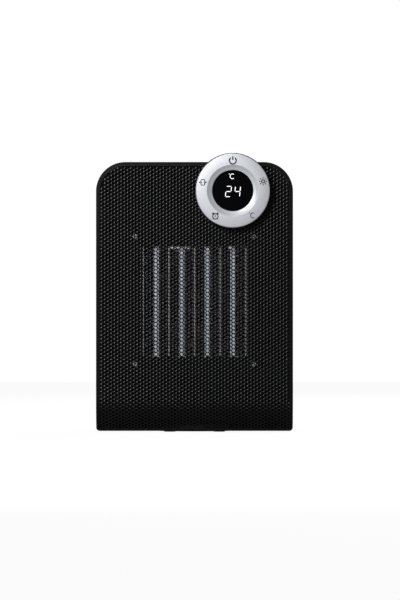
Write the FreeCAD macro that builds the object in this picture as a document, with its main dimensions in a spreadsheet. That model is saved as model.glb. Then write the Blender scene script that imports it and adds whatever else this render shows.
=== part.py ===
import FreeCAD, Part
import math
import os
import re
import Sketcher

os.makedirs("parts", exist_ok=True)
doc = FreeCAD.newDocument("CeramicHeater")
sheet = doc.addObject("Spreadsheet::Sheet", "Sizes")

# Driving dimensions, in millimetres and degrees. The front of the heater faces -Y.
sizes = {
    # casing
    "body_width": 190, "body_top": 261, "floor_gap": 1.2, "front_face": -60, "back_face": 67,
    "seam_depth": 52, "wall": 2.5, "top_corner": 28.3, "foot_corner": 3.5, "under_curve": 36,
    "under_drop": 30, "pan_sheet": 2.5, "back_corner": 7, "boss": 5, "arm_half": 4, "arm_depth": 14,
    # front sheet and its frame
    "sheet_gap": 0.3, "sheet_setback": 0.6, "sheet_metal": 1, "frame_rail": 5, "frame_depth": 2.5,
    # turntable
    "swing_axis": 4, "base_disc": 41.5, "base_lift": 0.6, "base_sheet": 3, "recess_gap": 1.5,
    "hub": 12, "hub_running": 0.05, "glide_inner": 24, "glide_outer": 36, "glide_sheet": 1,
    "foot_pad": 5.5, "foot_pad_sheet": 1.4, "foot_circle": 34, "gear_module": 1.25, "gear_sheet": 5,
    "gear_seat": 9, "gear_under": 0.3, "gear_bolt_circle": 7.5, "seat_gap": 0.05,
    # swing motor
    "stepper": 14, "stepper_depth": 19, "stepper_floor": 17, "stepper_offset": 8, "stepper_ear": 17.5,
    "stepper_shaft": 2.5, "ear_sheet": 1,
    # heater core
    "core_centre": 126.5, "core_width": 99.2, "core_height": 107, "core_front": -48, "core_depth": 26,
    "bar_width": 5, "plate_sheet": 0.8, "fin_sheet": 0.5, "cap_height": 9, "frame_sheet": 3,
    "frame_gap": 0.3, "frame_drop": 19, "frame_screw_x": 57.5,
    "frame_screw_low": 66, "frame_screw_high": 189, "duct_wall": 2, "duct_room": 2.4, "blade_width": 6.3,
    "blade_sheet": 0.8, "blade_reach": 14,
    # fan and its motor
    "fan_bore": 50, "fan_tip": 48, "fan_hub": 15, "fan_front": 14, "fan_depth": 15, "fan_skin": 1.6,
    "shroud_front": 10, "shroud_sheet": 2.5, "shroud_half": 66, "tunnel_back": 30, "tunnel_wall": 2,
    "motor_pad": 24, "shaft": 2.5, "shaft_front": 12, "shaft_length": 46, "bush": 5,
    "bush_running": 0.03, "bush_length": 5, "rotor": 13, "rotor_depth": 14, "air_gap": 0.5,
    "stator_half": 23, "stator_front": 38, "stator_depth": 12, "bracket_sheet": 2, "bracket_stand": 3.5,
    "coil_wall": 3, "bobbin_skin": 1, "motor_screw_x": 19, "motor_screw_length": 24.5,
    # power board
    "board_half": 80, "board_low": 198, "board_high": 248, "board_front": 0, "board_sheet": 1.6,
    "board_screw_x": 77, "board_screw_low": 205, "board_screw_high": 237,
    # controls
    "dial_x": 36.8, "dial_z": 233.3, "ring_radius": 35.6, "dial_front": -69.6, "ring_flat": 24.9,
    "ring_bevel": 19.95, "bevel_sink": 2.6, "ring_sheet": 2.2, "ring_drop": 1.1, "ring_crown": 60,
    "skirt_outer": 34, "skirt_wall": 1.6, "skirt_depth": 3.4, "cup_radius": 36.3,
    "cup_wall": 1.9, "cup_floor": 1.5, "cup_depth": 4.4,
    "neck": 20, "neck_length": 9, "neck_wall": 2, "nut_wall": 4.5, "nut_sheet": 4,
    "lens_gap": 0.3, "lens_sheet": 1.6, "lens_sink": 2.7, "display_board_radius": 32.2,
    "display_board_sheet": 1.6, "key_circle": 29.4, "key_half": 1.8, "key_body": 1.9, "key_button": 1.7,
    "key_button_radius": 1.6, "pad_radius": 1.5,
    # back
    "gland_bore": 3.6, "gland_body": 6, "gland_flange": 8.5, "gland_length": 6, "gland_x": -62,
    "gland_z": 34, "rocker_x": 62, "rocker_z": 34, "rocker_half": 5, "rocker_reach": 7.2,
    "rocker_pin": 1.5, "rocker_pivot": 2.5, "switch_wall": 2.3, "switch_depth": 11, "flange_sheet": 1,
    "slot_height": 3, "slot_pitch": 6.4, "slot_count": 15, "slot_half": 46, "slot_web": 3,
    "filter_lap": 3, "filter_sheet": 1,
    # tip-over switch
    "tilt_x": -30, "tilt_y": 27, "tilt_half": 12, "tilt_depth": 14, "tilt_height": 27, "tilt_wall": 2,
    "tilt_pin": 1, "tilt_bob": 4,
    # fasteners
    "screw_shank": 1.4, "screw_head": 2.8, "screw_head_sheet": 1.6, "screw_length": 8, "hole_gap": 0.05,
}
for row, (alias, number) in enumerate(sizes.items(), 1):
    sheet.set(f"A{row}", alias)
    sheet.set(f"B{row}", str(number))
    sheet.setAlias(f"B{row}", alias)
doc.recompute()

aliasPattern = re.compile(r"\b(" + "|".join(sizes) + r")\b")


def cells(text):
    return aliasPattern.sub(r"Sizes.\1", str(text))


def value(text):
    return float(sheet.evalExpression(cells(text)))


def bind(item, **expressions):
    for path, text in expressions.items():
        item.setExpression(path.replace("__", "."), cells(text))


def place(item, x, y, z):
    bind(item, Placement__Base__x=x, Placement__Base__y=y, Placement__Base__z=z)
    return item


turnTo = {
    "x": FreeCAD.Rotation(FreeCAD.Vector(0, 1, 0), 90),
    "y": FreeCAD.Rotation(FreeCAD.Vector(1, 0, 0), -90),
    "z": FreeCAD.Rotation(),
}


def block(name, x, y, z):
    """A box from three (low, high) pairs."""
    item = doc.addObject("Part::Box", name)
    bind(item, Length=f"({x[1]}) - ({x[0]})", Width=f"({y[1]}) - ({y[0]})", Height=f"({z[1]}) - ({z[0]})")
    return place(item, x[0], y[0], z[0])


def rod(name, axis, x, y, z, radius, length):
    """A cylinder that starts at (x, y, z) and runs along +axis."""
    item = doc.addObject("Part::Cylinder", name)
    item.Placement = FreeCAD.Placement(FreeCAD.Vector(), turnTo[axis])
    bind(item, Radius=radius, Height=length)
    return place(item, x, y, z)


def fuse(name, items):
    item = doc.addObject("Part::MultiFuse", name)
    item.Shapes = list(items)
    item.Refine = True
    return item


def common(name, items):
    item = doc.addObject("Part::MultiCommon", name)
    item.Shapes = list(items)
    return item


def cut(name, base, tools):
    item = doc.addObject("Part::Cut", name)
    item.Base = base
    item.Tool = tools[0] if len(tools) == 1 else fuse(name + "Tools", tools)
    item.Refine = True
    return item


def group(name, items):
    item = doc.addObject("Part::Compound", name)
    item.Links = list(items)
    return item


def drawOutline(sketch, points):
    """Closed outline. A point is (a, b), or (a, b, radius) where an arc of that radius runs on to the next
    point; a negative radius bends the other way."""
    spots = [FreeCAD.Vector(value(point[0]), value(point[1]), 0) for point in points]
    edges = []
    for index, point in enumerate(points):
        start = spots[index]
        end = spots[(index + 1) % len(points)]
        if len(point) == 2:
            edges.append(sketch.addGeometry(Part.LineSegment(start, end), False))
            continue
        radius = value(point[2])
        chord = end - start
        middle = (start + end) / 2
        side = FreeCAD.Vector(-chord.y, chord.x, 0).normalize() * math.copysign(1, radius)
        rise = math.sqrt(max(radius ** 2 - chord.Length ** 2 / 4, 0))
        centre = middle + side * rise
        top = centre - side * abs(radius)
        arc = Part.Arc(start, top, end) if radius > 0 else Part.Arc(end, top, start)
        edges.append(sketch.addGeometry(arc, False))
    ends = []
    for index, edge in enumerate(edges):
        geometry = sketch.Geometry[edge]
        forward = geometry.StartPoint.distanceToPoint(spots[index]) < 1e-6
        ends.append((1, 2) if forward else (2, 1))
    for index, edge in enumerate(edges):
        following = (index + 1) % len(edges)
        sketch.addConstraint(Sketcher.Constraint("Coincident", edge, ends[index][1],
                                                 edges[following], ends[following][0]))
    for index, point in enumerate(points):
        for kind, number, text in (("DistanceX", spots[index].x, point[0]),
                                   ("DistanceY", spots[index].y, point[1])):
            made = sketch.addConstraint(Sketcher.Constraint(kind, -1, 1, edges[index], ends[index][0],
                                                            number))
            sketch.setExpression(f"Constraints[{made}]", cells(text))
        if len(point) == 3:
            following = points[(index + 1) % len(points)]
            span = (spots[(index + 1) % len(points)] - spots[index]).Length
            halfCircle = span > 1.999 * abs(value(point[2]))
            if halfCircle:
                upright = abs(spots[index].x - spots[(index + 1) % len(points)].x) < 1e-6
                kind, axis = ("DistanceX", 0) if upright else ("DistanceY", 1)
                middle = f"(({point[axis]}) + ({following[axis]})) / 2"
                made = sketch.addConstraint(Sketcher.Constraint(kind, -1, 1, edges[index], 3, value(middle)))
                sketch.setExpression(f"Constraints[{made}]", cells(middle))
            else:
                made = sketch.addConstraint(Sketcher.Constraint("Radius", edges[index], abs(value(point[2]))))
                sketch.setExpression(f"Constraints[{made}]", cells(f"abs({point[2]})"))


def sketchOn(body, role, name, points, lift="0"):
    sketch = body.newObject("Sketcher::SketchObject", name)
    plane = [feature for feature in body.Origin.OriginFeatures if feature.Role == role][0]
    sketch.AttachmentSupport = [(plane, "")]
    sketch.MapMode = "FlatFace"
    bind(sketch, AttachmentOffset__Base__z=lift)
    drawOutline(sketch, points)
    return sketch


def padded(name, role, points, low, high):
    """A sketch on an origin plane, padded from low to high along the plane's +axis."""
    body = doc.addObject("PartDesign::Body", name)
    backwards = role == "XZ_Plane"
    lift = f"-({low})" if backwards else low
    pad = body.newObject("PartDesign::Pad", name + "Pad")
    pad.Profile = sketchOn(body, role, name + "Outline", points, lift)
    pad.Reversed = backwards
    bind(pad, Length=f"({high}) - ({low})")
    return body


def turned(name, axis, x, y, z, points):
    """A half section of (radius, height) points turned about an axis through (x, y, z)."""
    body = doc.addObject("PartDesign::Body", name)
    sketch = sketchOn(body, "XZ_Plane", name + "Section", points)
    solid = body.newObject("PartDesign::Revolution", name + "Turn")
    solid.Profile = sketch
    solid.ReferenceAxis = (sketch, ["V_Axis"])
    solid.Angle = 360
    body.Placement = FreeCAD.Placement(FreeCAD.Vector(), turnTo[axis])
    return place(body, x, y, z)


def screw(name, axis, x, y, z, towards=1, length="screw_length"):
    """A screw whose head rests on (x, y, z) and whose shank runs along towards * axis."""
    flip = FreeCAD.Rotation(FreeCAD.Vector(1, 0, 0), 180) if towards < 0 else FreeCAD.Rotation()
    body = doc.addObject("PartDesign::Body", name)
    points = [("0", "-screw_head_sheet"), ("screw_head * 0.7", "-screw_head_sheet"),
              ("screw_head", "-screw_head_sheet * 0.5"), ("screw_head", "0"), ("screw_shank", "0"),
              ("screw_shank", f"{length} - 1"), ("0", length)]
    sketch = sketchOn(body, "XZ_Plane", name + "Section", points)
    solid = body.newObject("PartDesign::Revolution", name + "Turn")
    solid.Profile = sketch
    solid.ReferenceAxis = (sketch, ["V_Axis"])
    solid.Angle = 360
    body.Placement = FreeCAD.Placement(FreeCAD.Vector(), turnTo[axis].multiply(flip))
    return place(body, x, y, z)


nodes = {}


def node(label, item):
    item.Label = label
    nodes[label] = item
    return item


def drill(name, axis, spots, towards=1, length="screw_length", radius="screw_shank + hole_gap"):
    """One hole for each spot, from the plane the screw's head rests on to just past its tip."""
    holes = []
    for index, (x, y, z) in enumerate(spots):
        start = {"x": x, "y": y, "z": z}
        if towards < 0:
            start[axis] = f"({start[axis]}) - ({length}) - hole_gap"
        holes.append(rod(f"{name}Hole{index}", axis, start["x"], start["y"], start["z"], radius,
                         f"({length}) + hole_gap"))
    return holes


def screws(label, axis, spots, towards=1, length="screw_length"):
    return node(label, group(label, [screw(f"{label}_{index}", axis, x, y, z, towards, length)
                                     for index, (x, y, z) in enumerate(spots)]))


def around(count, first, radius, x, z):
    """Points at equal angles on a circle, as text for two coordinates."""
    spots = []
    for index in range(count):
        angle = math.radians(first + 360 * index / count)
        spots.append((f"{x} + ({radius}) * {math.cos(angle):.6f}",
                      f"{z} + ({radius}) * {math.sin(angle):.6f}"))
    return spots


# Casing

halfWidth = "(body_width / 2)"
curveLevel = "(floor_gap + under_drop)"


def roundedOutline(inset, low):
    half = f"({halfWidth} - ({inset}))"
    top = f"(body_top - ({inset}))"
    upper = f"(top_corner - ({inset}))"
    return [(f"-{half} + foot_corner", low), (f"{half} - foot_corner", low, "foot_corner"),
            (half, f"{low} + foot_corner"), (half, f"{top} - {upper}", upper),
            (f"{half} - {upper}", top), (f"-{half} + {upper}", top, upper),
            (f"-{half}", f"{top} - {upper}"), (f"-{half}", f"{low} + foot_corner", "foot_corner")]


def archOutline(inset, low):
    half = f"({halfWidth} - ({inset}))"
    top = f"(body_top - ({inset}))"
    upper = f"(top_corner - ({inset}))"
    return [(f"-{half}", low), (half, low), (half, f"{top} - {upper}", upper),
            (f"{half} - {upper}", top), (f"-{half} + {upper}", top, upper), (f"-{half}", f"{top} - {upper}")]


def sideOutline(inset, back, low, high):
    """Side profile of the front: straight down, then curling back under."""
    curve = f"(under_curve - ({inset}))"
    drop = f"({curveLevel} - ({low}))"
    reach = f"(under_curve - sqrt({curve} * {curve} - {drop} * {drop}))"
    return [(f"front_face + ({inset})", curveLevel, curve), (f"front_face + {reach}", low),
            (back, low), (back, high), (f"front_face + ({inset})", high)]


wholeWidth = (f"-{halfWidth} - 1", f"{halfWidth} + 1")
armSpots = [("frame", "frame_screw_x", "core_front", "frame_screw_low", "duct"),
            ("frameTop", "frame_screw_x", "core_front", "frame_screw_high", "duct"),
            ("board", "board_screw_x", "board_front - arm_depth", "board_screw_low", "board"),
            ("boardTop", "board_screw_x", "board_front - arm_depth", "board_screw_high", "board"),
            ("shroud", "(shroud_half - 5)", "shroud_front - arm_depth", "core_centre - shroud_half + 6",
             "board"),
            ("shroudTop", "(shroud_half - 5)", "shroud_front - arm_depth", "core_centre + shroud_half - 6",
             "board")]
frameScrewSpots = [(f"{side} * frame_screw_x", "core_front - frame_sheet", level)
                   for side in (-1, 1) for level in ("frame_screw_low", "frame_screw_high")]
boardScrewSpots = [(f"{side} * board_screw_x", "board_front + board_sheet", level)
                   for side in (-1, 1) for level in ("board_screw_low", "board_screw_high")]
shroudScrewSpots = [(f"{side} * (shroud_half - 5)", "shroud_front + shroud_sheet",
                     f"core_centre + {up} * (shroud_half - 6)")
                    for side in (-1, 1) for up in (-1, 1)]
coverScrewSpots = [(f"{side} * ({reach})", "back_face - 2.4", level)
                   for side in (-1, 1) for reach, level in (("body_width / 2 - 14", "floor_gap + 14"),
                                                            ("body_width / 2 - 22", "body_top - 22"))]
panScrewSpots = [(f"{side} * (body_width / 2 - 11)", depth, "floor_gap + 2.2")
                 for side in (-1, 1) for depth in ("front_face + 36", "seam_depth - 14")]
frameHoles = drill("Frame", "y", frameScrewSpots)
boardHoles = drill("Board", "y", boardScrewSpots, -1)
shroudHoles = drill("Shroud", "y", shroudScrewSpots, -1)
coverHoles = drill("Cover", "y", coverScrewSpots, -1, "screw_length + 10")
panHoles = drill("Pan", "z", panScrewSpots)


def housingShell():
    band = padded("ShellBand", "XZ_Plane", roundedOutline("0", "floor_gap"), "front_face", "seam_depth")
    room = padded("ShellRoom", "XZ_Plane", archOutline("wall", "floor_gap - 1"), "front_face - 1",
                  "seam_depth + 1")
    side = padded("ShellSide", "YZ_Plane", sideOutline("0", "seam_depth", "floor_gap", "body_top"),
                  *wholeWidth)
    shell = common("ShellCheeks", [cut("ShellTube", band, [room]), side])
    arms = []
    for name, x, y, z, reach in armSpots:
        for side in (-1, 1):
            inner = f"{x} - 3.2" if reach == "duct" else f"{x} - 5"
            outer = f"{halfWidth} - wall / 2"
            spanX = (inner, outer) if side > 0 else (f"-({outer})", f"-({inner})")
            arms.append(block(f"Arm{name}{side + 1}", spanX, (y, f"{y} + arm_depth"),
                              (f"{z} - arm_half", f"{z} + arm_half")))
    for index, (x, y, z) in enumerate(coverScrewSpots):
        arms.append(rod(f"CoverBoss{index}", "y", x, "seam_depth - 12", z, "boss", "12"))
        spanX = (f"-{halfWidth} + wall / 2", x) if index < 2 else (x, f"{halfWidth} - wall / 2")
        arms.append(block(f"CoverWeb{index}", spanX, ("seam_depth - 12", "seam_depth"),
                          (f"{z} - 2", f"{z} + 2")))
    for index, (x, y, z) in enumerate(panScrewSpots):
        spanX = (f"-{halfWidth} + wall / 2", f"{x} + boss") if index < 2 else (f"{x} - boss",
                                                                               f"{halfWidth} - wall / 2")
        arms.append(block(f"PanArm{index}", spanX, (f"{y} - boss", f"{y} + boss"),
                          ("floor_gap + 5", "floor_gap + 15")))
    whole = fuse("ShellWhole", [shell] + arms)
    return node("housing_shell", cut("Shell", whole,
                                     frameHoles + boardHoles + shroudHoles + coverHoles + panHoles))


def capsuleRow(name, x0, x1, low, y0, y1):
    """A row of round-ended slots, one above another."""
    half = "(slot_height / 2)"
    points = [(f"{x0} + {half}", low), (f"{x1} - {half}", low, half),
              (f"{x1} - {half}", f"{low} + slot_height"),
              (f"{x0} + {half}", f"{low} + slot_height", half)]
    body = padded(name, "XZ_Plane", points, y0, y1)
    doc.recompute()
    rows = body.newObject("PartDesign::LinearPattern", name + "Rows")
    rows.Originals = [body.getObject(name + "Pad")]
    rows.Direction = (body.getObject(name + "Outline"), ["V_Axis"])
    bind(rows, Length="(slot_count - 1) * slot_pitch", Occurrences="slot_count")
    body.Tip = rows
    return body


def filletedPad(name, inset, low, front, back, radius):
    """The casing's outline padded back, with its rear edge rounded."""
    body = padded(name, "XZ_Plane", roundedOutline(inset, low), front, back)
    doc.recompute()
    pad = body.getObject(name + "Pad")
    rear = max(range(len(pad.Shape.Faces)), key=lambda index: pad.Shape.Faces[index].CenterOfMass.y)
    rounding = body.newObject("PartDesign::Fillet", name + "Rounding")
    rounding.Base = (pad, [f"Face{rear + 1}"])
    bind(rounding, Radius=radius)
    body.Tip = rounding
    return body


def rearCover():
    outer = filletedPad("CoverOuter", "0", "floor_gap", "seam_depth", "back_face", "back_corner")
    inner = filletedPad("CoverInner", "wall", "floor_gap + wall", "seam_depth - 1", "back_face - wall",
                        "back_corner - wall")
    posts = [rod(f"CoverPost{index}", "y", x, "seam_depth", z, "boss", "back_face - seam_depth - 1")
             for index, (x, y, z) in enumerate(coverScrewSpots)]
    sinks = [rod(f"CoverSink{index}", "y", x, y, z, "screw_head + 0.4", "4")
             for index, (x, y, z) in enumerate(coverScrewSpots)]
    low = "core_centre - (slot_count - 1) * slot_pitch / 2 - slot_height / 2"
    slots = [capsuleRow("SlotsLeft", "-slot_half", "-slot_web", low, "back_face - 6", "back_face + 1"),
             capsuleRow("SlotsRight", "slot_web", "slot_half", low, "back_face - 6", "back_face + 1")]
    gland = rod("GlandHole", "y", "gland_x", "back_face - 6", "gland_z", "gland_body + hole_gap", "8")
    rocker = block("RockerHole", ("rocker_x - rocker_half - switch_wall - hole_gap",
                                  "rocker_x + rocker_half + switch_wall + hole_gap"),
                   ("back_face - 6", "back_face + 1"),
                   ("rocker_z - rocker_reach - 1 - switch_wall - hole_gap",
                    "rocker_z + rocker_reach + 1 + switch_wall + hole_gap"))
    body = fuse("CoverBody", [cut("CoverCup", outer, [inner])] + posts)
    node("rear_cover", cut("Cover", body, slots + [gland, rocker] + sinks + coverHoles))
    top = f"{low} + (slot_count - 1) * slot_pitch + slot_height"
    node("inlet_filter", block("InletFilter", ("-slot_half - filter_lap", "slot_half + filter_lap"),
                               ("back_face - wall - filter_sheet", "back_face - wall"),
                               (f"{low} - filter_lap", f"{top} + filter_lap")))


def bottomPan():
    centre = ("0", "swing_axis")
    ceiling = "(base_lift + base_sheet + glide_sheet + seat_gap)"
    width = (f"-{halfWidth} + wall", f"{halfWidth} - wall")
    curve = "(under_curve - sheet_setback - sheet_metal)"
    drop = "(under_drop - sheet_setback)"
    sheetEnd = f"(front_face + under_curve - sqrt({curve} * {curve} - {drop} * {drop}))"
    plate = block("PanPlate", width, (f"{sheetEnd} + sheet_gap", "seam_depth"),
                  ("floor_gap", "floor_gap + pan_sheet"))
    dome = rod("PanDome", "z", *centre, "floor_gap", "base_disc + recess_gap + pan_sheet",
               f"{ceiling} + pan_sheet - floor_gap")
    boss = rod("PanBoss", "z", *centre, "floor_gap", "hub + 4", "gear_seat - gear_under - floor_gap")
    feet = [rod(f"PanLug{index}", "z", x, y, "floor_gap", "boss", "5") for index,
            (x, y, z) in enumerate(panScrewSpots)]
    stands = [rod(f"StepperStand{index}", "z", x, y, ceiling, "3.5", f"stepper_floor - {ceiling}")
              for index, (x, y, z) in enumerate(stepperScrewSpots)]
    recess = rod("PanRecess", "z", *centre, "floor_gap - 1", "base_disc + recess_gap",
                 f"{ceiling} - floor_gap + 1")
    hubHole = rod("HubHole", "z", *centre, "0", "hub + hub_running", "20")
    sinks = [rod(f"PanSink{index}", "z", x, y, "floor_gap - 1", "screw_head + 0.4", "3.2")
             for index, (x, y, z) in enumerate(panScrewSpots)]
    body = fuse("PanBody", [plate, dome, boss] + feet + stands)
    return node("bottom_pan", cut("Pan", body, [recess, hubHole] + sinks + panHoles + stepperHoles))


def frontGrille():
    """The perforated sheet, as its whole curved blank with the opening for the control puck's neck."""
    side = f"{halfWidth} - wall - sheet_gap"
    low = "(floor_gap + sheet_setback)"
    outer = padded("SheetOuter", "YZ_Plane", sideOutline("sheet_setback", "0", low, "body_top"), f"-({side})",
                   side)
    inner = padded("SheetInner", "YZ_Plane", sideOutline("sheet_setback + sheet_metal", "1", "floor_gap - 2",
                                                         "body_top + 1"),
                   *wholeWidth)
    arch = padded("SheetArch", "XZ_Plane", archOutline("wall + sheet_gap", "-5"), "front_face - 1", "0")
    sheetMetal = common("SheetTrim", [cut("SheetSkin", outer, [inner]), arch])
    opening = rod("SheetOpening", "y", "dial_x", "front_face - 1", "dial_z", "neck + 0.4", "5")
    return node("front_grille", cut("Sheet", sheetMetal, [opening]))


def grilleFrame():
    front = "(front_face + sheet_setback + sheet_metal)"
    back = f"({front} + frame_depth)"
    outer = padded("FrameOuter", "XZ_Plane", archOutline("wall", curveLevel), front, back)
    inner = padded("FrameInner", "XZ_Plane", archOutline("wall + frame_rail", f"{curveLevel} - 1"),
                   f"{front} - 1", f"{back} + 1")
    pad = rod("FramePad", "y", "dial_x", front, "dial_z", "neck + nut_wall + 2", "frame_depth")
    trimmed = common("FramePadTrim", [pad, outer])
    neck = rod("FrameNeck", "y", "dial_x", f"{front} - 1", "dial_z", "neck + hole_gap", "6")
    return node("grille_frame", cut("Frame", fuse("FrameWhole", [cut("FrameRail", outer, [inner]), trimmed]),
                                    [neck]))


# Turntable and swing drive

gearTeeth = 36
pinionTeeth = 12
gearDistance = f"(gear_module * {(gearTeeth + pinionTeeth) / 2})"
gearTop = "(gear_seat + gear_sheet)"
gearScrewSpots = [(x, y, gearTop) for x, y in around(3, 90, "gear_bolt_circle", "0", "swing_axis")]
gearHoles = drill("Gear", "z", gearScrewSpots, -1)
stepperX = f"({gearDistance} + stepper_offset)"
stepperScrewSpots = [(stepperX, f"swing_axis + {side} * stepper_ear", "stepper_floor + ear_sheet")
                     for side in (-1, 1)]
stepperHoles = drill("Stepper", "z", stepperScrewSpots, -1)


def gearWheel(name, teeth, firstTooth, low, high):
    """Straight-flanked teeth on a root disc, thinned so that the pair runs with play.
    Factors are in modules."""
    tip, root, thickness = 0.85, -1.15, 1.17
    radius = f"gear_module * {teeth / 2 + root}"
    body = padded(name, "XY_Plane", [(f"-{radius}", "0", radius), (radius, "0", radius)], low, high)
    corners = []
    for side, height in ((-1, root - 0.3), (-1, tip), (1, tip), (1, root - 0.3)):
        reach = teeth / 2 + height
        slope = height * math.tan(math.radians(20))
        angle = math.radians(firstTooth) + side * (thickness / 2 - slope) / reach
        corners.append((f"gear_module * {reach * math.cos(angle):.5f}",
                        f"gear_module * {reach * math.sin(angle):.5f}"))
    tooth = body.newObject("PartDesign::Pad", name + "Tooth")
    tooth.Profile = sketchOn(body, "XY_Plane", name + "ToothOutline", corners, low)
    bind(tooth, Length=f"({high}) - ({low})")
    doc.recompute()
    ring = body.newObject("PartDesign::PolarPattern", name + "Teeth")
    ring.Originals = [tooth]
    ring.Axis = (tooth.Profile[0], ["N_Axis"])
    ring.Angle = 360
    ring.Occurrences = teeth
    body.Tip = ring
    return body


def turntable():
    centre = ("0", "swing_axis", "0")
    top = "(base_lift + base_sheet)"
    disc = turned("BaseDisc", "z", *centre, [("0", "base_lift"), ("base_disc - 1", "base_lift"),
                                             ("base_disc", "base_lift + 1"),
                                              ("base_disc", top), ("hub", top), ("hub", "gear_seat"),
                                             ("0", "gear_seat")])
    padSpots = around(4, 45, "foot_circle", "0", "swing_axis")
    pockets = [rod(f"PadPocket{index}", "z", x, y, "0", "foot_pad + hole_gap", "foot_pad_sheet")
               for index, (x, y) in enumerate(padSpots)]
    node("base_plate", cut("Base", disc, pockets + gearHoles))
    node("base_feet", group("Feet", [rod(f"Foot{index}", "z", x, y, "0", "foot_pad", "foot_pad_sheet")
                                     for index, (x, y) in enumerate(padSpots)]))
    ring = [("glide_inner", top), ("glide_outer", top), ("glide_outer", f"{top} + glide_sheet"),
            ("glide_inner", f"{top} + glide_sheet")]
    node("glide_ring", turned("Glide", "z", *centre, ring))
    gear = place(gearWheel("GearBlank", gearTeeth, 0, "gear_seat", gearTop), "0", "swing_axis", "0")
    node("swing_gear", cut("Gear", gear, gearHoles))
    screws("gear_screws", "z", gearScrewSpots, -1)


def swingDrive():
    low = "(gear_seat + 0.5)"
    teeth = place(gearWheel("PinionWheel", pinionTeeth, 15, low, "stepper_floor - 1.5"), gearDistance,
                  "swing_axis", "0")
    shaft = rod("PinionShaft", "z", gearDistance, "swing_axis", low, "stepper_shaft",
                f"stepper_floor + 4 - {low}")
    node("swing_pinion", fuse("Pinion", [teeth, shaft]))
    can = rod("StepperCan", "z", stepperX, "swing_axis", "stepper_floor", "stepper", "stepper_depth")
    ear = block("StepperEar", (f"{stepperX} - 3.5", f"{stepperX} + 3.5"),
                ("swing_axis - stepper_ear", "swing_axis + stepper_ear"),
                ("stepper_floor", "stepper_floor + ear_sheet"))
    ends = [rod(f"StepperEarEnd{index}", "z", x, y, "stepper_floor", "3.5", "ear_sheet") for index,
            (x, y, z) in enumerate(stepperScrewSpots)]
    plug = block("StepperPlug", (f"{stepperX} + stepper - 3", f"{stepperX} + stepper + 3"),
                 ("swing_axis - 7", "swing_axis + 7"),
                 ("stepper_floor + 1", "stepper_floor + stepper_depth - 3"))
    bore = rod("StepperBore", "z", gearDistance, "swing_axis", "stepper_floor - 1", "stepper_shaft + 0.05",
               "5.3")
    node("swing_motor", cut("StepperMotor", fuse("StepperWhole", [can, ear, plug] + ends),
                            [bore] + stepperHoles))
    screws("swing_motor_screws", "z", stepperScrewSpots, -1)


# Heater core and duct

coreLow = "(core_centre - core_height / 2)"
coreHigh = "(core_centre + core_height / 2)"
coreBack = "(core_front + core_depth)"
cell = "(core_width / 4)"
barCentres = [f"({index - 1.5} * {cell})" for index in range(4)]
finWidth = f"(({cell} - bar_width - plate_sheet) / 2)"
finFolds = 20


def finStrip(name, left, right):
    """One corrugated strip: a fold of thin metal repeated up the core, touching a bar and a plate."""
    pitch = f"(core_height / {finFolds})"
    low = f"({coreLow} + fin_sheet)"
    high = f"({low} + {pitch} - 2 * fin_sheet / {finFolds})"
    inner = f"(({left}) * 0.2 + ({right}) * 0.8)"
    fold = [(left, f"{low} - fin_sheet"), (right, f"({low} + {high}) / 2"), (left, f"{high} + fin_sheet"),
            (left, f"{high} - fin_sheet"), (inner, f"({low} + {high}) / 2"), (left, f"{low} + fin_sheet")]
    body = padded(name, "XZ_Plane", fold, "core_front + 1", f"{coreBack} - 1")
    doc.recompute()
    rows = body.newObject("PartDesign::LinearPattern", name + "Rows")
    rows.Originals = [body.getObject(name + "Pad")]
    rows.Direction = (body.getObject(name + "Outline"), ["V_Axis"])
    rows.Occurrences = finFolds
    bind(rows, Length=f"({finFolds - 1}) * ({pitch} - 2 * fin_sheet / {finFolds})")
    body.Tip = rows
    return body


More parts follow.
